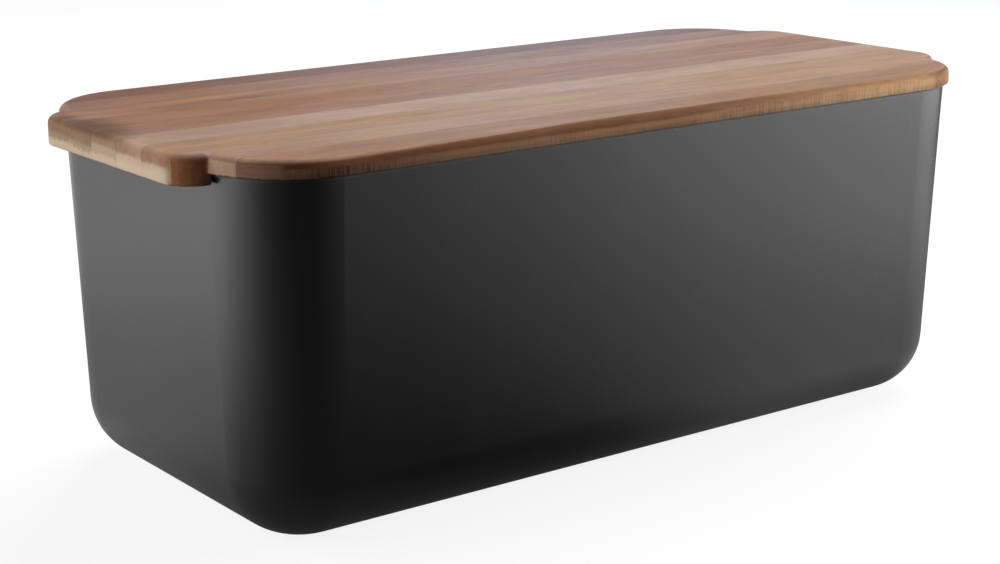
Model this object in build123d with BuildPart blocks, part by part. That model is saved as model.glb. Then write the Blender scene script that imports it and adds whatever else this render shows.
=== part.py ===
"""Bread box: a moulded tub and a lid board glued up from staves.

Millimetres. X runs along the box, Y across it with the front at -Y, and Z is up. The origin is on the
surface that the tub stands on, under the middle of the box.
"""

import math
import os

from build123d import *

# Tub
TUB_LENGTH = 350.0  # outside, at the rim
TUB_WIDTH = 168.0  # outside, at the rim
TUB_HEIGHT = 135.0
WALL_LEAN = 2.0  # degrees from upright, so that the tub leaves its mould
RIM_CORNER_RADIUS = 33.5  # outside, seen from above
BASE_EDGE_RADIUS = 26.0  # where the walls turn into the base
CORNER_MARGIN = 0.5  # by which the base's corners stay rounder than its edge
WALL_THICKNESS = 3.0
FLOOR_THICKNESS = 3.5
RIM_ROUNDING = 0.8
FOOT_BAND_WIDTH = 9.0  # flat band round the base that the tub stands on
FOOT_RECESS_DEPTH = 0.8
FOOT_RECESS_CORNER_RADIUS = 10.0

# Lid board
BOARD_THICKNESS = 11.0  # at the tabs and the middle, where nothing is milled away
REBATE_DEPTH = 4.0  # milled out of the underside for the rim
OVERHANG = 2.2  # of the board beyond the tub's rim, all round but for the tabs
TAB_WIDTH = 110.0
TAB_REACH = 10.8  # beyond the board's end line
TAB_CORNER_RADIUS = 12.5
NOTCH_RADIUS = 1.5  # inside corner between a tab and the board's rounded corner
TOP_ARRIS_RADIUS = 3.0
UNDER_ARRIS_RADIUS = 0.8
STAVE_COUNT = 9

# Fits between the lid and the tub
HOOK_CLEARANCE = 1.0  # from a tab's hook to the outside of the end wall
PLUG_CLEARANCE = 1.0  # from the middle of the underside to the inside of the walls

# The walls lean, so every outline of the tub shrinks towards the base
lean_per_height = math.tan(math.radians(WALL_LEAN))
base_inset = TUB_HEIGHT * lean_per_height
base_corner_radius = RIM_CORNER_RADIUS - base_inset
base_edge_radius = min(BASE_EDGE_RADIUS, base_corner_radius - CORNER_MARGIN)
cavity_length = TUB_LENGTH - 2 * WALL_THICKNESS
cavity_width = TUB_WIDTH - 2 * WALL_THICKNESS
cavity_corner_radius = RIM_CORNER_RADIUS - WALL_THICKNESS
cavity_edge_radius = base_edge_radius - WALL_THICKNESS
foot_recess_length = TUB_LENGTH - 2 * (base_inset + base_edge_radius + FOOT_BAND_WIDTH)
foot_recess_width = TUB_WIDTH - 2 * (base_inset + base_edge_radius + FOOT_BAND_WIDTH)

# The board's plate lies on the rim, its plug drops inside the walls and its hooks outside the ends
plate_thickness = BOARD_THICKNESS - REBATE_DEPTH
plate_length = TUB_LENGTH + 2 * OVERHANG
plate_width = TUB_WIDTH + 2 * OVERHANG
plate_corner_radius = RIM_CORNER_RADIUS + OVERHANG
board_length = plate_length + 2 * TAB_REACH
board_underside = TUB_HEIGHT - REBATE_DEPTH
plug_inset = PLUG_CLEARANCE + REBATE_DEPTH * lean_per_height
stave_width = plate_width / STAVE_COUNT

rim_plane = Plane.XY.offset(TUB_HEIGHT)
underside_plane = Plane.XY.offset(board_underside)

os.makedirs("parts", exist_ok=True)


# Space inside the tub, which is cut out of it
with BuildPart() as cavity:
    with BuildSketch(rim_plane):
        RectangleRounded(cavity_length, cavity_width, cavity_corner_radius)
    extrude(amount=FLOOR_THICKNESS - TUB_HEIGHT, taper=WALL_LEAN)
    fillet(cavity.edges().group_by(Axis.Z)[0], cavity_edge_radius)

# Tub, one moulding with leaning walls and a round-edged base
with BuildPart() as tub:
    with BuildSketch(rim_plane):
        RectangleRounded(TUB_LENGTH, TUB_WIDTH, RIM_CORNER_RADIUS)
    extrude(amount=-TUB_HEIGHT, taper=WALL_LEAN)
    fillet(tub.edges().group_by(Axis.Z)[0], base_edge_radius)
    add(cavity.part, mode=Mode.SUBTRACT)
    fillet(tub.edges().group_by(Axis.Z)[-1], RIM_ROUNDING)
    with BuildSketch():
        RectangleRounded(foot_recess_length, foot_recess_width, FOOT_RECESS_CORNER_RADIUS)
    extrude(amount=FOOT_RECESS_DEPTH, mode=Mode.SUBTRACT)

tub.part.label = "tub"
export_step(tub.part, "parts/tub.step")

# Whole board as it is milled and rounded over, before it is told apart into its staves
with BuildPart() as board:
    with BuildSketch(rim_plane):
        RectangleRounded(plate_length, plate_width, plate_corner_radius)
        RectangleRounded(board_length, TAB_WIDTH, TAB_CORNER_RADIUS)
        # Out and back again, which rounds the inside corners alone
        offset(amount=NOTCH_RADIUS)
        offset(amount=-NOTCH_RADIUS)
    extrude(amount=plate_thickness)
    fillet(board.edges().group_by(Axis.Z)[-1], TOP_ARRIS_RADIUS)
    fillet(board.edges().group_by(Axis.Z)[0], UNDER_ARRIS_RADIUS)
    with BuildSketch(underside_plane):
        RectangleRounded(board_length, TAB_WIDTH, TAB_CORNER_RADIUS)
        RectangleRounded(
            TUB_LENGTH + 2 * HOOK_CLEARANCE,
            TUB_WIDTH + 2 * HOOK_CLEARANCE,
            RIM_CORNER_RADIUS + HOOK_CLEARANCE,
            mode=Mode.SUBTRACT,
        )
        RectangleRounded(
            cavity_length - 2 * plug_inset,
            cavity_width - 2 * plug_inset,
            cavity_corner_radius - plug_inset,
        )
    # The hooks run up past the plate's lower arris, so that a tab's side is one flush face
    extrude(amount=REBATE_DEPTH + UNDER_ARRIS_RADIUS)
    fillet(board.edges().group_by(Axis.Z)[0], UNDER_ARRIS_RADIUS)

# Staves, glued edge to edge, numbered from the front
for number in range(1, STAVE_COUNT + 1):
    stave_middle = (number - (STAVE_COUNT + 1) / 2) * stave_width
    with BuildPart() as stave:
        add(board.part)
        with Locations((0, stave_middle, board_underside + BOARD_THICKNESS / 2)):
            Box(board_length, stave_width, BOARD_THICKNESS, mode=Mode.INTERSECT)
    stave.part.label = f"lid_stave_{number}"
    export_step(stave.part, f"parts/{stave.part.label}.step")
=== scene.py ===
"""Bread box: materials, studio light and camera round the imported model.

Metres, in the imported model's frame: X along the box, the front at -Y, Z up, the floor at 0.
"""

import math

import bpy
from mathutils import Matrix
from mathutils import Vector


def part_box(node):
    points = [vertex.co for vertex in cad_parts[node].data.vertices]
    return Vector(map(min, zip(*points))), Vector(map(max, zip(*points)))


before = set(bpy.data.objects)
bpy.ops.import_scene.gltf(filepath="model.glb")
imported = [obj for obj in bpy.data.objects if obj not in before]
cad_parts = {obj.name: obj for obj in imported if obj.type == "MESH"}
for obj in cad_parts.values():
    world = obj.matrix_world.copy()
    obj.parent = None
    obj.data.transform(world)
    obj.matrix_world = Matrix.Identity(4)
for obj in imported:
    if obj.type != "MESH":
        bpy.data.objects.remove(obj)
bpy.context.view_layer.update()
scene = bpy.context.scene
MM = 0.001
WHITE = (1.0, 1.0, 1.0)

# Board and tub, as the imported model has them
STAVE_COUNT = 9
BOARD_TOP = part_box("lid_stave_5")[1].z
BOARD_HALF_WIDTH = -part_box("lid_stave_1")[0].y
STAVE_WIDTH = 2 * BOARD_HALF_WIDTH / STAVE_COUNT
RIM_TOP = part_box("tub")[1].z


class Shader:
    """A new material, with one short call for each kind of node that it needs."""

    def __init__(self, name):
        self.material = bpy.data.materials.new(name)
        self.material.use_nodes = True
        self.nodes = self.material.node_tree.nodes
        self.links = self.material.node_tree.links
        self.surface = self.nodes["Principled BSDF"]

    def put(self, socket, value):
        if isinstance(value, bpy.types.NodeSocket):
            self.links.new(value, socket)
        elif value is not None:
            socket.default_value = value

    def math(self, operation, first, second=None, third=None):
        node = self.nodes.new("ShaderNodeMath")
        node.operation = operation
        for socket, value in zip(node.inputs, (first, second, third)):
            self.put(socket, value)
        return node.outputs[0]

    def vector(self, operation, first, second=None):
        node = self.nodes.new("ShaderNodeVectorMath")
        node.operation = operation
        self.put(node.inputs[0], first)
        self.put(node.inputs[1], second)
        return node.outputs["Value" if operation in ("DOT_PRODUCT", "LENGTH") else "Vector"]

    def split(self, vector):
        node = self.nodes.new("ShaderNodeSeparateXYZ")
        self.put(node.inputs[0], vector)
        return node.outputs

    def noise(self, place, per_metre, seed, detail, roughness=0.5, output="Fac"):
        """Noise that changes so many times in a metre along each axis."""
        scaled = self.vector("MULTIPLY", place, per_metre)
        moved = self.vector("ADD", scaled, (seed * 7.31, seed * 3.77, seed * 5.13))
        node = self.nodes.new("ShaderNodeTexNoise")
        self.put(node.inputs["Vector"], moved)
        node.inputs["Scale"].default_value = 1.0
        node.inputs["Detail"].default_value = detail
        node.inputs["Roughness"].default_value = roughness
        return node.outputs[output]

    def fade(self, value, low, high, to_low=0.0, to_high=1.0):
        """Smooth step from one value to another, between low and high."""
        node = self.nodes.new("ShaderNodeMapRange")
        node.interpolation_type = "SMOOTHSTEP"
        for socket, number in zip(node.inputs, (value, low, high, to_low, to_high)):
            self.put(socket, number)
        return node.outputs[0]

    def mix(self, share, first, second, blend="MIX"):
        node = self.nodes.new("ShaderNodeMix")
        node.data_type = "RGBA"
        node.blend_type = blend
        colours = [(*c, 1.0) if isinstance(c, tuple) else c for c in (first, second)]
        for socket, value in zip((node.inputs[0], node.inputs[6], node.inputs[7]), (share, *colours)):
            self.put(socket, value)
        return node.outputs[2]

    def along(self, value, first, *changes):
        """Colour that is the first one, and then each next one from where its change starts and ends."""
        colour = first
        for start, end, following in changes:
            colour = self.mix(self.fade(value, start, end), colour, following)
        return colour

    def bump(self, height, distance, normal=None):
        node = self.nodes.new("ShaderNodeBump")
        node.inputs["Strength"].default_value = 1.0
        node.inputs["Distance"].default_value = distance
        self.put(node.inputs["Height"], height)
        self.put(node.inputs["Normal"], normal)
        return node.outputs[0]


# Tub: near-black plastic. A span is where a fade starts and ends, here and in all that follows, and where it
# has two more numbers, they are the fade's values there.
TUB_DARK = (0.0052, 0.0053, 0.0056)
TUB_LIGHT = (0.0070, 0.0071, 0.0075)
TUB_ROUGHNESS = 0.26
SMEAR_ROUGHNESS = 0.015  # by which a smear is rougher or smoother
SMEAR_SPAN = (0.3, 0.7)
RIM_ROUGHNESS = 0.28  # added on the rim, which is less polished
RIM_SPAN = (RIM_TOP - 1.5 * MM, RIM_TOP - 0.8 * MM)
TUB_IOR = 1.88  # high, since the satin skin mirrors strongly
MOULD_GRAIN = dict(per_metre=(2600, 2600, 2600), seed=1, detail=3)
MOULD_WAVES = dict(per_metre=(14, 14, 9), seed=2, detail=1)
SMEARS = dict(per_metre=(45, 45, 20), seed=3, detail=3, roughness=0.6)
MOULD_GRAIN_DEPTH = 0.01 * MM
MOULD_WAVE_DEPTH = 0.12 * MM


def tub_finish():
    """Satin moulded plastic: a fine grain and a barely uneven surface."""
    s = Shader("tub_satin_plastic")
    place = s.nodes.new("ShaderNodeTexCoord").outputs["Object"]
    smears = s.noise(place, **SMEARS)
    s.put(s.surface.inputs["Base Color"], s.mix(smears, TUB_DARK, TUB_LIGHT))
    satin = s.fade(smears, *SMEAR_SPAN, TUB_ROUGHNESS - SMEAR_ROUGHNESS, TUB_ROUGHNESS + SMEAR_ROUGHNESS)
    rim = s.fade(s.split(place)["Z"], *RIM_SPAN, 0.0, RIM_ROUGHNESS)
    s.put(s.surface.inputs["Roughness"], s.math("ADD", satin, rim))
    s.surface.inputs["IOR"].default_value = TUB_IOR
    wavy = s.bump(s.noise(place, **MOULD_WAVES), MOULD_WAVE_DEPTH)
    s.put(s.surface.inputs["Normal"], s.bump(s.noise(place, **MOULD_GRAIN), MOULD_GRAIN_DEPTH, wavy))
    return s.material


# Staves, front to back: tones of the dark wood, the light wood and the end grain; where the pith lies, across
# and up from the middle of the stave's top, in metres; the rings' spacing in mm; how many mm below the top
# the end grain starts, and the share of it that already shows above that
STAVES = {
    1: dict(
        dark=(0.288, 0.138, 0.071), light=(0.488, 0.263, 0.147), end=(0.360, 0.200, 0.130),
        pith=(0.006, -0.055), ring=3.1, end_from=3.0, early=0.00,
    ),
    2: dict(
        dark=(0.365, 0.201, 0.121), light=(0.566, 0.339, 0.220), end=(0.650, 0.430, 0.285),
        pith=(-0.010, 0.040), ring=2.6, end_from=3.4, early=0.00,
    ),
    3: dict(
        dark=(0.350, 0.195, 0.115), light=(0.555, 0.335, 0.208), end=(0.720, 0.530, 0.390),
        pith=(0.014, -0.035), ring=3.6, end_from=4.4, early=0.00,
    ),
    4: dict(
        dark=(0.403, 0.248, 0.177), light=(0.604, 0.409, 0.310), end=(0.720, 0.530, 0.390),
        pith=(-0.004, -0.070), ring=2.9, end_from=3.8, early=0.00,
    ),
    5: dict(
        dark=(0.261, 0.134, 0.088), light=(0.474, 0.276, 0.192), end=(0.560, 0.415, 0.300),
        pith=(0.009, 0.030), ring=3.3, end_from=3.0, early=0.40,
    ),
    6: dict(
        dark=(0.270, 0.137, 0.088), light=(0.453, 0.248, 0.165), end=(0.460, 0.330, 0.235),
        pith=(-0.013, -0.045), ring=2.4, end_from=4.4, early=0.40,
    ),
    7: dict(
        dark=(0.314, 0.183, 0.128), light=(0.523, 0.320, 0.239), end=(0.400, 0.280, 0.200),
        pith=(0.003, 0.060), ring=3.4, end_from=3.8, early=0.25,
    ),
    8: dict(
        dark=(0.255, 0.144, 0.116), light=(0.429, 0.264, 0.226), end=(0.380, 0.250, 0.160),
        pith=(-0.008, -0.050), ring=2.7, end_from=3.4, early=0.00,
    ),
    9: dict(
        dark=(0.185, 0.101, 0.092), light=(0.335, 0.204, 0.188), end=(0.330, 0.220, 0.150),
        pith=(0.011, -0.040), ring=3.0, end_from=3.4, early=0.00,
    ),
}
SEED_STEP = 1.7  # from stave to stave

# Grain, drawn out along the stave
WANDER = dict(per_metre=(9, 20, 20), seed=0, detail=2, output="Color")
BANDS = dict(per_metre=(20, 120, 120), seed=11, detail=3, roughness=0.6)
STREAKS = dict(per_metre=(70, 520, 520), seed=23, detail=3, roughness=0.65)
FIBRES = dict(per_metre=(260, 1700, 1700), seed=31, detail=2)
FLECKS = dict(per_metre=(190, 620, 620), seed=37, detail=2, roughness=0.6)
PORES = dict(per_metre=(120, 2600, 2600), seed=41, detail=1)
TINT = dict(per_metre=(30, 85, 85), seed=71, detail=2)
NOISE_MIDDLE = 0.5  # which a noise swings about
WANDER_REACH = 18 * MM
LATE_WOOD_RISE = (0.25, 0.85)  # in parts of a ring
LATE_WOOD_FALL = (0.93, 1.0, 1.0, 0.0)
PORE_SPAN = (0.66, 0.80)
TINT_SPAN = (0.35, 0.65)

# What each part of the grain adds on the way from the dark to the light tone
TONE_START = -0.425
BAND_TONE = 1.10
LATE_WOOD_TONE = -0.06
STREAK_TONE = 0.45
FIBRE_TONE = 0.20
FLECK_TONE = 0.35

# Tints, as factors on the wood, and where the warm one lies along and across the board; the warm one is
# painted light, a lack of the cool sheen at the left end of the back staves
YELLOW_CAST = (1.04, 1.02, 0.91)
PINK_CAST = (0.98, 0.96, 1.04)
WARM_NO_SHEEN_CAST = (0.97, 0.80, 0.58)
WARM_START = (-0.18, -0.14, 0.35, 1.0)
WARM_STOP = (-0.14, -0.04, 1.0, 0.0)
WARM_ACROSS = (-0.012, 0.002)
PORE_COLOUR = (0.090, 0.045, 0.026)
PORE_SHARE = 0.45

# Patches in the grain
PATCHES = (
    # stave, middle along and across the board, half length, half width, all in mm, colour, share
    (6, -148, 19, 46, 12, (0.470, 0.285, 0.175), 0.45),
    (8, -150, 57, 46, 12, (0.430, 0.250, 0.180), 0.35),
    (4, -150, -19, 42, 14, (0.380, 0.230, 0.150), 0.45),
    (1, -102, -77, 42, 14, (0.310, 0.160, 0.090), 0.50),
    (2, -100, -57, 44, 11, (0.610, 0.410, 0.290), 0.40),
    (4, -189, -10, 11, 13, (0.200, 0.115, 0.075), 0.80),
    (5, -188, 4, 15, 19, (0.145, 0.080, 0.055), 0.85),
    (6, -187, 16, 17, 20, (0.150, 0.080, 0.058), 0.90),
    (7, -189, 34, 15, 19, (0.130, 0.070, 0.052), 0.85),
    (7, -125, 38, 60, 9, (0.270, 0.140, 0.085), 0.55),
    (7, -109, 37, 15, 3.4, (0.180, 0.100, 0.070), 0.65),
    (4, 172, -22, 26, 9, (0.520, 0.280, 0.150), 0.55),
    (3, -20, -37, 36, 6.5, (0.530, 0.370, 0.190), 0.65),
    (3, -77, -38, 7, 1.2, (0.200, 0.100, 0.060), 0.55),
    (3, 122, -33, 8, 1.2, (0.200, 0.100, 0.060), 0.55),
)
PATCH_EDGE = 1.15  # in parts of a patch's half size
PATCH_HEART = 0.1
PATCH_FADE = (0.0, 2.5 * MM, 1.0, 0.4)  # below the top

# Where a tab begins along the board, and the upright part of the normal on the sides and the underside
TAB_SPAN = (0.1765, 0.1775)
UPRIGHT_SPAN = (0.55, 0.25)
UNDERSIDE_SPAN = (-0.995, -0.95)
LEAST_LEVEL_PART = 0.01  # of the normal, so that nothing is divided by zero

# Edge, as factors on the wood, mostly painted light and shade: where the arris starts, the arris, its low
# part, the side and the ends
# Painted sheen where the arris starts, which the rougher arris itself doesn't reflect
ARRIS_LIFT_LEFT = (1.22, 1.40, 1.80)
ARRIS_LIFT = (1.12, 1.28, 1.45)
# Painted shade on the arris, deepest towards the middle of the board and gone on the right
ARRIS_CORNER = (0.68, 0.52, 0.55)
ARRIS_LEFT = (0.65, 0.56, 0.60)
ARRIS_MIDDLE = (0.54, 0.51, 0.48)
ARRIS_RIGHT = (0.98, 1.03, 1.00)
# Low part of the arris: painted shade on the left, painted light on the right
LOW_ARRIS_LEFT = (0.82, 0.73, 0.62)
LOW_ARRIS_MIDDLE = (1.08, 1.05, 0.96)
LOW_ARRIS_RIGHT = (1.32, 1.40, 1.45)
# Side: painted shade by the left corner and low down, painted light on the right
SIDE_CORNER = (0.92, 0.78, 0.82)
SIDE_DARK = (0.25, 0.17, 0.19)
SIDE_LEFT = (0.89, 0.87, 0.84)
SIDE_RIGHT = (1.38, 1.46, 1.48)
LOW_SIDE_CAST = (0.70, 0.80, 0.93)
# Painted shade on the left tab's front side; darker tones on its back side, on the right end and on the ends
TAB_SIDE_CAST = (0.86, 0.55, 0.35)
TAB_BACK_CAST = (0.55, 0.47, 0.42)
FAR_END_CAST = (0.54, 0.54, 0.55)
END_CAST = (0.88, 0.83, 0.81)

# Where one of them gives way to the next along the board, or across it
LIFT_CHANGE = (-0.10, -0.04)
ARRIS_LEFT_CHANGE = (-0.15, -0.11)
ARRIS_MIDDLE_CHANGE = (-0.11, -0.01)
ARRIS_RIGHT_CHANGE = (0.0, 0.12)
LOW_ARRIS_MIDDLE_CHANGE = (-0.13, -0.05)
LOW_ARRIS_RIGHT_CHANGE = (0.0, 0.06)
SIDE_DARK_CHANGE = (-0.161, -0.147)
SIDE_LEFT_CHANGE = (-0.147, -0.09)
SIDE_RIGHT_CHANGE = (0.03, 0.10)
TAB_BACK_CHANGE = (-0.01, 0.01)  # across

# Where they give way by the upright part of the normal, and to the right end by its part along the board
EDGE_START = (0.9999, 0.97)
LOW_ARRIS_SPAN = (0.75, 0.35)
END_SPAN = (0.98, 0.20)
FAR_END_SPAN = (0.0, 0.20)

# Upright part of the normal where the dark arris starts and where it is full, first left and then right
DARK_ALONG = (-0.19, -0.02)
DARK_FROM = (0.72, 0.99)
DARK_FULL = (0.30, 0.915)

# How deep below the top the arris ends, first left and then right, and where the side's low part begins
TURN_ALONG = (0.0, 0.06)
TURN_DEPTH = (3.4 * MM, 2.2 * MM)
TURN_SPAN = (-0.5 * MM, 0.5 * MM)
LOW_SIDE_SPAN = (4.4 * MM, 5.8 * MM)

# Upright mill marks along the sides, fainter on the left
MARKS = dict(per_metre=(1000, 1000, 60), seed=53, detail=4, roughness=0.7)
MARKED_AREAS = dict(per_metre=(22, 22, 60), seed=61, detail=2)
MARK_SPAN = (0.44, 0.56)
MARKED_AREA_SPAN = (0.30, 0.55)
MARK_SHARE = (0.0, 0.14, 0.12, 0.65)  # along the board
MILLED_PALE = (0.680, 0.480, 0.290)

# End grain: where it shows, by how squarely the surface faces the end, its tones and its ragged start
SPECKS = dict(per_metre=(900, 1500, 900), seed=67, detail=3, roughness=0.7)
WEAR = dict(per_metre=(40, 40, 90), seed=61, detail=2)
SPECK_WEAR = 1.2
WEAR_SPAN = (0.25, 0.65)
SQUARE_TO_END = (0.85, 0.95)
FACING_END = (0.55, 0.63)
STRICTER_ON_TAB = -0.365  # added there, so that a tab's side stays long grain
END_DARK = 0.86
END_LIGHT = 1.07
END_CREAM = (0.840, 0.670, 0.490)
CREAM_SHARE = 0.75
CREAM_RAGGED = -6 * MM
CREAM_SPAN = (3.2 * MM, 4.8 * MM)
START_RAGGED = -3 * MM
START_LENGTH = 1.6  # mm over which it comes in
START_OVERRUN = 0.1  # mm past the depth that is given for the stave
EARLY_SPAN = (1.0 * MM, 3.0 * MM)
END_SHARE = 0.85
TAB_END_SHARE = 0.94

# Glue lines between the staves
GLUE_HALF_WIDTH = 0.35 * MM
GLUE_SHARE = 0.4
GLUE_ON_END = -0.6  # less of it on end grain

# Surface of the oiled wood, and how much rougher it is off the flat top
WOOD_ROUGHNESS = 0.45
STREAK_ROUGHNESS = -0.10
EDGE_ROUGHNESS = 0.60
FLAT_TOP_SPAN = (0.9999, 0.996)
WOOD_IOR = 1.40
PORE_HEIGHT = -0.8
FIBRE_HEIGHT = 0.35
MARK_HEIGHT = 0.8
GRAIN_DEPTH = 0.06 * MM


def shaded(colour, factor):
    """Colour times a number."""
    return tuple(factor * part for part in colour)


class StaveWood(Shader):
    """Oiled hardwood of one stave: grain, patches, painted light and shade on the edge, mill marks, end grain
    and glue lines.
    """

    def __init__(self, number):
        super().__init__(f"oiled_wood_{number}")
        self.number = number
        self.middle = (number - (STAVE_COUNT + 1) / 2) * STAVE_WIDTH
        self.place = self.nodes.new("ShaderNodeTexCoord").outputs["Object"]
        self.x, self.y, z = self.split(self.place)
        self.deep = self.math("SUBTRACT", BOARD_TOP, z)
        normal = self.nodes.new("ShaderNodeNewGeometry").outputs["Normal"]
        self.normal_x, _, self.normal_z = self.split(normal)

        # 1 where the surface squarely faces an end of the board, 0 where it faces the front or the back
        level_part = self.math("MULTIPLY_ADD", self.normal_z, self.math("MULTIPLY", self.normal_z, -1.0), 1.0)
        level_length = self.math("SQRT", self.math("MAXIMUM", level_part, LEAST_LEVEL_PART))
        self.turned = self.math("DIVIDE", self.math("ABSOLUTE", self.normal_x), level_length)
        self.on_tab = self.fade(self.math("ABSOLUTE", self.x), *TAB_SPAN)

        # Depth at which the arris ends, which is nearer to the top on the right
        turn_depth = self.fade(self.x, *TURN_ALONG, *TURN_DEPTH)
        self.below_turn = self.fade(self.math("SUBTRACT", self.deep, turn_depth), *TURN_SPAN)
        self.not_underside = self.fade(self.normal_z, *UNDERSIDE_SPAN)

    def own_noise(self, place, seed, **settings):
        """Noise that differs from stave to stave."""
        return self.noise(place, seed=self.number * SEED_STEP + seed, **settings)

    def tint(self, share, colour, cast):
        """Colour multiplied by the cast, as far as the share goes."""
        return self.mix(share, colour, cast, "MULTIPLY")

    def lay_grain(self, dark, light, pith, ring):
        """Rings about a pith beside the stave, broad bands, streaks and fibres; returns the wood's colour."""
        wander = self.vector("SUBTRACT", self.own_noise(self.place, **WANDER), (NOISE_MIDDLE,) * 3)
        sideways = self.vector("MULTIPLY", wander, (0.0, WANDER_REACH, WANDER_REACH))
        self.bent = self.vector("ADD", self.place, sideways)
        _, bent_y, bent_z = self.split(self.bent)
        across = self.math("SUBTRACT", bent_y, self.middle + pith[0])
        up = self.math("SUBTRACT", bent_z, BOARD_TOP + pith[1])
        squared = self.math("ADD", self.math("MULTIPLY", across, across), self.math("MULTIPLY", up, up))
        in_ring = self.math("FRACT", self.math("DIVIDE", self.math("SQRT", squared), ring * MM))
        rise = self.fade(in_ring, *LATE_WOOD_RISE)
        late_wood = self.math("MULTIPLY", rise, self.fade(in_ring, *LATE_WOOD_FALL))

        self.bands = self.own_noise(self.bent, **BANDS)
        self.streaks = self.own_noise(self.bent, **STREAKS)
        self.fibres = self.own_noise(self.bent, **FIBRES)
        self.pores = self.fade(self.own_noise(self.bent, **PORES), *PORE_SPAN)
        tone = TONE_START
        for part, weight in (
            (self.bands, BAND_TONE),
            (late_wood, LATE_WOOD_TONE),
            (self.streaks, STREAK_TONE),
            (self.fibres, FIBRE_TONE),
            (self.own_noise(self.bent, **FLECKS), FLECK_TONE),
        ):
            tone = self.math("MULTIPLY_ADD", part, weight, tone)
        colour = self.mix(self.fade(tone, 0.0, 1.0), dark, light)

        pinkness = self.fade(self.own_noise(self.bent, **TINT), *TINT_SPAN)
        colour = self.tint(1.0, colour, self.mix(pinkness, YELLOW_CAST, PINK_CAST))
        # Painted light: warmer at the left end of the back staves, where less of the cool sheen shows
        warm_along = self.math("MULTIPLY", self.fade(self.x, *WARM_START), self.fade(self.x, *WARM_STOP))
        warm = self.math("MULTIPLY", warm_along, self.fade(self.y, *WARM_ACROSS))
        return self.tint(warm, colour, WARM_NO_SHEEN_CAST)

    def lay_patches(self, colour):
        """Stained patches with ragged edges, weaker below the top, and then the pores over all."""
        for stave, along, beside, half_length, half_width, stain, share in PATCHES:
            if stave != self.number:
                continue
            from_patch = self.vector("SUBTRACT", self.bent, (along * MM, beside * MM, BOARD_TOP))
            sizes = (1 / (half_length * MM), 1 / (half_width * MM), 0.0)
            reach = self.vector("LENGTH", self.vector("MULTIPLY", from_patch, sizes))
            ragged = self.math("ADD", self.math("SUBTRACT", self.bands, NOISE_MIDDLE), reach)
            soaked = self.fade(ragged, PATCH_EDGE, PATCH_HEART, 0.0, share)
            colour = self.mix(self.math("MULTIPLY", soaked, self.fade(self.deep, *PATCH_FADE)), colour, stain)
        return self.mix(self.math("MULTIPLY", self.pores, PORE_SHARE), colour, PORE_COLOUR)

    def paint_edge_light_and_shade(self, colour):
        """Painted shade on the arris round the top with a painted sheen where it starts, painted light and
        shade on the sides and darker tones on the ends; the top and the underside stay as they are.
        """
        arris_cast = self.along(
            self.x,
            ARRIS_CORNER,
            (*ARRIS_LEFT_CHANGE, ARRIS_LEFT),
            (*ARRIS_MIDDLE_CHANGE, ARRIS_MIDDLE),
            (*ARRIS_RIGHT_CHANGE, ARRIS_RIGHT),
        )
        low_arris_cast = self.along(
            self.x,
            LOW_ARRIS_LEFT,
            (*LOW_ARRIS_MIDDLE_CHANGE, LOW_ARRIS_MIDDLE),
            (*LOW_ARRIS_RIGHT_CHANGE, LOW_ARRIS_RIGHT),
        )
        arris_cast = self.tint(self.fade(self.normal_z, *LOW_ARRIS_SPAN), arris_cast, low_arris_cast)
        side_cast = self.along(
            self.x,
            SIDE_CORNER,
            (*SIDE_DARK_CHANGE, SIDE_DARK),
            (*SIDE_LEFT_CHANGE, SIDE_LEFT),
            (*SIDE_RIGHT_CHANGE, SIDE_RIGHT),
        )
        side_cast = self.tint(self.fade(self.deep, *LOW_SIDE_SPAN), side_cast, LOW_SIDE_CAST)
        edge_cast = self.mix(self.below_turn, arris_cast, side_cast)
        edge_cast = self.tint(self.fade(self.normal_x, *FAR_END_SPAN), edge_cast, FAR_END_CAST)
        on_left_tab = self.fade(self.math("MULTIPLY", self.x, -1.0), *TAB_SPAN)
        tab_cast = self.mix(self.fade(self.y, *TAB_BACK_CHANGE), TAB_SIDE_CAST, TAB_BACK_CAST)
        edge_cast = self.mix(on_left_tab, edge_cast, tab_cast)

        # Painted sheen: the arris starts a little brighter and bluer than the top, but not on the tabs
        lift = self.mix(self.fade(self.x, *LIFT_CHANGE), ARRIS_LIFT_LEFT, ARRIS_LIFT)
        lift = self.mix(self.on_tab, lift, WHITE)
        start_cast = self.mix(self.fade(self.normal_z, *EDGE_START), WHITE, lift)
        dark_from = self.fade(self.x, *DARK_ALONG, *DARK_FROM)
        dark_full = self.fade(self.x, *DARK_ALONG, *DARK_FULL)
        darkened = self.fade(self.normal_z, dark_from, dark_full)
        self.rounded = self.math("MULTIPLY", darkened, self.not_underside)
        edge_cast = self.mix(self.rounded, start_cast, edge_cast)

        # The ends have one tone of their own
        on_end = self.math("MULTIPLY", self.fade(self.turned, *SQUARE_TO_END), self.not_underside)
        end_cast = self.mix(self.fade(self.normal_z, *END_SPAN), WHITE, END_CAST)
        return self.tint(1.0, colour, self.mix(on_end, edge_cast, end_cast))

    def lay_mill_marks(self, colour):
        """Pale upright marks on the sides, in some areas only."""
        self.marks = self.own_noise(self.place, **MARKS)
        marked = self.math(
            "MULTIPLY",
            self.fade(self.marks, *MARK_SPAN),
            self.fade(self.own_noise(self.place, **MARKED_AREAS), *MARKED_AREA_SPAN),
        )
        marked = self.math("MULTIPLY", marked, self.below_turn)
        self.milled = self.math("MULTIPLY", marked, self.fade(self.x, *MARK_SHARE))
        return self.mix(self.math("MULTIPLY", self.milled, self.rounded), colour, MILLED_PALE)

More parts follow.
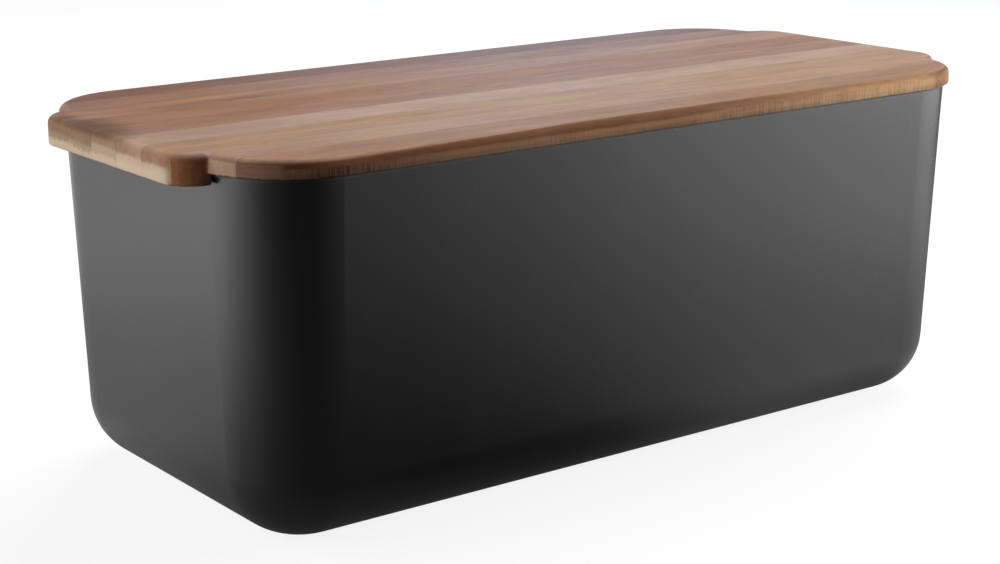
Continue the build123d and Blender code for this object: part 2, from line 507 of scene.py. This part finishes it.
    def lay_end_grain(self, colour, end, end_from, early):
        """Pale, worn end grain with a ragged start, creamy towards the underside."""
        specks = self.math("SUBTRACT", self.noise(self.place, **SPECKS), NOISE_MIDDLE)
        worn = self.math("MULTIPLY_ADD", specks, SPECK_WEAR, self.noise(self.place, **WEAR))
        creamy = self.fade(self.math("MULTIPLY_ADD", worn, CREAM_RAGGED, self.deep), *CREAM_SPAN)
        end_grain = self.mix(self.fade(worn, *WEAR_SPAN), shaded(end, END_DARK), shaded(end, END_LIGHT))
        end_grain = self.mix(self.math("MULTIPLY", creamy, CREAM_SHARE), end_grain, END_CREAM)

        # It shows on the upright part of the board's round corners, and on a tab from the stave's own depth
        start = (end_from + START_OVERRUN - START_LENGTH) * MM
        full = (end_from + START_OVERRUN) * MM
        reached = self.fade(self.math("MULTIPLY_ADD", worn, START_RAGGED, self.deep), start, full)
        reached = self.math("MAXIMUM", reached, self.fade(self.deep, *EARLY_SPAN, 0.0, early))
        upright = self.fade(self.math("ABSOLUTE", self.normal_z), *UPRIGHT_SPAN)
        low_enough = self.math("MULTIPLY_ADD", self.on_tab, self.math("SUBTRACT", reached, upright), upright)
        square_enough = self.math("MULTIPLY_ADD", self.on_tab, STRICTER_ON_TAB, self.turned)
        self.facing_end = self.math("MULTIPLY", self.fade(square_enough, *FACING_END), low_enough)
        share = self.math("MULTIPLY_ADD", self.on_tab, TAB_END_SHARE - END_SHARE, END_SHARE)
        return self.mix(self.math("MULTIPLY", self.facing_end, share), colour, end_grain)

    def lay_glue_lines(self, colour):
        """Thin dark lines along both of the stave's joints, but not on the board's own front and back."""
        from_middle = self.math("ABSOLUTE", self.math("SUBTRACT", self.y, self.middle))
        inside = self.math("LESS_THAN", self.math("ABSOLUTE", self.y), BOARD_HALF_WIDTH - MM)
        glue = self.fade(from_middle, STAVE_WIDTH / 2 - GLUE_HALF_WIDTH, STAVE_WIDTH / 2)
        on_end = self.math("MULTIPLY_ADD", self.facing_end, GLUE_ON_END, 1.0)
        glue = self.math("MULTIPLY", self.math("MULTIPLY", glue, inside), on_end)
        return self.mix(self.math("MULTIPLY", glue, GLUE_SHARE), colour, PORE_COLOUR)

    def finish(self, colour):
        """Roughness and relief of the oiled wood."""
        self.put(self.surface.inputs["Base Color"], colour)
        rough = self.math("MULTIPLY_ADD", self.streaks, STREAK_ROUGHNESS, WOOD_ROUGHNESS)
        off_top = self.fade(self.normal_z, *FLAT_TOP_SPAN)
        rough = self.math("MULTIPLY_ADD", off_top, EDGE_ROUGHNESS, rough)
        self.put(self.surface.inputs["Roughness"], rough)
        self.surface.inputs["IOR"].default_value = WOOD_IOR
        height = self.math("MULTIPLY_ADD", self.pores, PORE_HEIGHT, self.streaks)
        height = self.math("MULTIPLY_ADD", self.fibres, FIBRE_HEIGHT, height)
        milled_marks = self.math("MULTIPLY", self.marks, self.milled)
        height = self.math("MULTIPLY_ADD", milled_marks, MARK_HEIGHT, height)
        self.put(self.surface.inputs["Normal"], self.bump(height, GRAIN_DEPTH))
        return self.material


def wood_finish(number, dark, light, end, pith, ring, end_from, early):
    """Material of one stave, one layer on the other."""
    wood = StaveWood(number)
    colour = wood.lay_grain(dark, light, pith, ring)
    colour = wood.lay_patches(colour)
    colour = wood.paint_edge_light_and_shade(colour)
    colour = wood.lay_mill_marks(colour)
    colour = wood.lay_end_grain(colour, end, end_from, early)
    return wood.finish(wood.lay_glue_lines(colour))


def dress(node, material):
    """Puts the material in all of the node's slots."""
    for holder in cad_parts[node].material_slots:
        holder.material = material


for number, tones in STAVES.items():
    dress(f"lid_stave_{number}", wood_finish(number, **tones))
dress("tub", tub_finish())


# Camera, as it stood for the photograph
CAMERA_AZIMUTH = -35.966
CAMERA_ELEVATION = 14.555
CAMERA_ROLL = -0.374
CAMERA_DISTANCE = 0.8239
CAMERA_TARGET = Vector((-0.03295, 0.0, 0.06503))
SENSOR_WIDTH = 36  # mm
LENS = 73.44  # mm
SHIFT_X = 0.0391
SHIFT_Y = -0.0036
CLIP_END = 50


def direction(azimuth, elevation):
    """Unit vector away from the object; azimuth 0 is the front and 90 the right, in degrees."""
    a = math.radians(azimuth)
    e = math.radians(elevation)
    return Vector((math.sin(a) * math.cos(e), -math.cos(a) * math.cos(e), math.sin(e)))


def add_camera():
    """Camera that looks at its target, rolled a little."""
    away = direction(CAMERA_AZIMUTH, CAMERA_ELEVATION)
    right = (-away).cross(Vector((0, 0, 1))).normalized()
    up = right.cross(-away)
    roll = Matrix.Rotation(math.radians(CAMERA_ROLL), 4, "Z")
    level = Matrix((right, up, away)).transposed().to_4x4()
    data = bpy.data.cameras.new("camera")
    data.sensor_width = SENSOR_WIDTH
    data.lens = LENS
    data.shift_x = SHIFT_X
    data.shift_y = SHIFT_Y
    data.clip_end = CLIP_END
    camera = bpy.data.objects.new("camera", data)
    camera.matrix_world = Matrix.Translation(CAMERA_TARGET + away * CAMERA_DISTANCE) @ level @ roll
    scene.collection.objects.link(camera)
    scene.camera = camera


add_camera()

# Pale floor. The camera sees it white but for the box's soft shadow. Beside the box, glossy rays see painted
# pools of light in its glow, which is no lamp, and the satin tub mirrors them; it is dark towards every other
# ray.
FLOOR_HALF = 4.0
FLOOR_DROP = 0.1 * MM  # so that the floor and the tub's foot don't share one plane
FLOOR_ROUGHNESS = 0.9
FLOOR_TO_CAMERA = (0.2, 0.2, 0.2)
FLOOR_TO_OTHERS = (0.06, 0.06, 0.06)
FLOOR_WHITE = 0.86
POOL_SHARPNESS = 8.0
POOL_LIMIT = 1.0  # white
POOL_FAR_SPAN = (0.10, 0.40)  # from the box's foot
POOL_NEAR_SPAN = (0.10, 0.40, 1.0, 0.0)
POOL_START = (0.0, 0.05)
POOLS = (
    # azimuth, strength near the box, strength farther out
    (30, 0.154, 0.107),
    (60, 0.426, 1.000),
    (180, 0.129, 0.761),
    (240, 0.414, 0.942),
    (270, 0.104, 0.193),
)
FOOT_GLOW = 0.059  # beside the box, all round
FOOT_GLOW_WIDTH = 0.06
FOOT_HALF_LENGTH = 0.14
FOOT_HALF_WIDTH = 0.055


def pool_glow(s):
    """How brightly the painted pools of light glow at a place on the floor."""
    place = s.nodes.new("ShaderNodeNewGeometry").outputs["Position"]
    outwards = s.vector("NORMALIZE", place)
    x, y, _ = s.split(place)
    beside_x = s.math("MAXIMUM", s.math("SUBTRACT", s.math("ABSOLUTE", x), FOOT_HALF_LENGTH), 0.0)
    beside_y = s.math("MAXIMUM", s.math("SUBTRACT", s.math("ABSOLUTE", y), FOOT_HALF_WIDTH), 0.0)
    squared = s.math("MULTIPLY_ADD", beside_x, beside_x, s.math("MULTIPLY", beside_y, beside_y))
    away = s.math("SQRT", squared)
    far = s.fade(away, *POOL_FAR_SPAN)
    near = s.math("MULTIPLY", s.fade(away, *POOL_NEAR_SPAN), s.fade(away, *POOL_START))
    glow = s.fade(away, 0.0, FOOT_GLOW_WIDTH, FOOT_GLOW, 0.0)
    for azimuth, near_strength, far_strength in POOLS:
        aligned = s.vector("DOT_PRODUCT", outwards, tuple(direction(azimuth, 0)))
        falling = s.math("EXPONENT", s.math("MULTIPLY_ADD", aligned, POOL_SHARPNESS, -POOL_SHARPNESS))
        level = s.math("MULTIPLY_ADD", far, far_strength, s.math("MULTIPLY", near, near_strength))
        glow = s.math("MULTIPLY_ADD", falling, level, glow)
    return s.math("MINIMUM", glow, POOL_LIMIT)


def add_floor():
    """Level floor that is stage, not object."""
    mesh = bpy.data.meshes.new("floor")
    corners = [(x * FLOOR_HALF, y * FLOOR_HALF, -FLOOR_DROP) for x, y in ((-1, -1), (1, -1), (1, 1), (-1, 1))]
    mesh.from_pydata(corners, [], [(0, 1, 2, 3)])
    s = Shader("pale_floor")
    s.surface.inputs["Roughness"].default_value = FLOOR_ROUGHNESS
    s.surface.inputs["Specular IOR Level"].default_value = 0.0
    s.surface.inputs["Emission Color"].default_value = (*WHITE, 1.0)
    rays = s.nodes.new("ShaderNodeLightPath").outputs
    s.put(s.surface.inputs["Base Color"], s.mix(rays["Is Camera Ray"], FLOOR_TO_OTHERS, FLOOR_TO_CAMERA))
    mirrored = s.math("MULTIPLY", rays["Is Glossy Ray"], pool_glow(s))
    strength = s.math("MULTIPLY_ADD", rays["Is Camera Ray"], FLOOR_WHITE, mirrored)
    s.put(s.surface.inputs["Emission Strength"], strength)
    mesh.materials.append(s.material)
    floor = bpy.data.objects.new("floor", mesh)
    scene.collection.objects.link(floor)


add_floor()

WINDOW_BLUE = (0.070, 0.282, 0.485)
WINDOW_TEAL = (0.046, 0.143, 0.174)


def add_panel(name, azimuth, distance, height, size, radiance, tilt=0, colour=WHITE, mirrored=True):
    """Soft light panel that faces the box; a tilt of 90 hangs it flat overhead."""
    width, tall = size
    data = bpy.data.lights.new(name, "AREA")
    data.shape = "RECTANGLE"
    data.size = width
    data.size_y = tall
    data.energy = radiance * math.pi * width * tall
    data.color = colour
    panel = bpy.data.objects.new(name, data)
    panel.location = direction(azimuth, 0) * distance + Vector((0, 0, height))
    panel.rotation_euler = direction(azimuth, tilt).to_track_quat("Z", "Y").to_euler()
    panel.visible_glossy = mirrored
    scene.collection.objects.link(panel)


# The lamps' distance, height and size are in metres
add_panel("left_back_panel", azimuth=226, distance=1.5, height=0.6, size=(0.8, 1.2), radiance=4.07)
add_panel("left_panel", azimuth=262, distance=1.3, height=0.5, size=(0.8, 1.0), radiance=2.63)
add_panel("right_front_panel", azimuth=62, distance=1.5, height=0.6, size=(0.8, 1.2), radiance=2.06)
add_panel("right_middle_panel", azimuth=50, distance=0.8, height=0.25, size=(0.4, 0.4), radiance=2.54)
add_panel("right_near_panel", azimuth=75, distance=0.8, height=0.3, size=(0.5, 0.6), radiance=0.99)

# Low lamp for the board's front edge, which the tub doesn't mirror
add_panel(
    "edge_panel",
    azimuth=50,
    distance=0.62,
    height=0.13,
    size=(0.3, 0.2),
    radiance=9.0,
    mirrored=False,
)

# Over the box and a little to its right, for the board's top
add_panel(
    "overhead_panel",
    azimuth=120,
    distance=1.05,
    height=1.5,
    size=(1.6, 0.9),
    radiance=6.42,
    tilt=45,
)

# Weak and bluish, for the cool sheen on the back staves
add_panel(
    "window_panel",
    azimuth=140.4,
    distance=1.48,
    height=0.37,
    size=(0.3, 0.68),
    radiance=1.0,
    colour=WINDOW_BLUE,
)
add_panel(
    "window_side_panel",
    azimuth=118,
    distance=1.5,
    height=0.4,
    size=(0.7, 0.8),
    radiance=1.0,
    colour=WINDOW_TEAL,
)


def add_world():
    """Dark room that only the camera sees as white."""
    world = bpy.data.worlds.new("white_room")
    world.use_nodes = True
    scene.world = world
    backdrop = world.node_tree.nodes["Background"]
    backdrop.inputs["Color"].default_value = (*WHITE, 1.0)
    seen = world.node_tree.nodes.new("ShaderNodeLightPath").outputs["Is Camera Ray"]
    world.node_tree.links.new(seen, backdrop.inputs["Strength"])


add_world()

scene.view_settings.view_transform = "Standard"
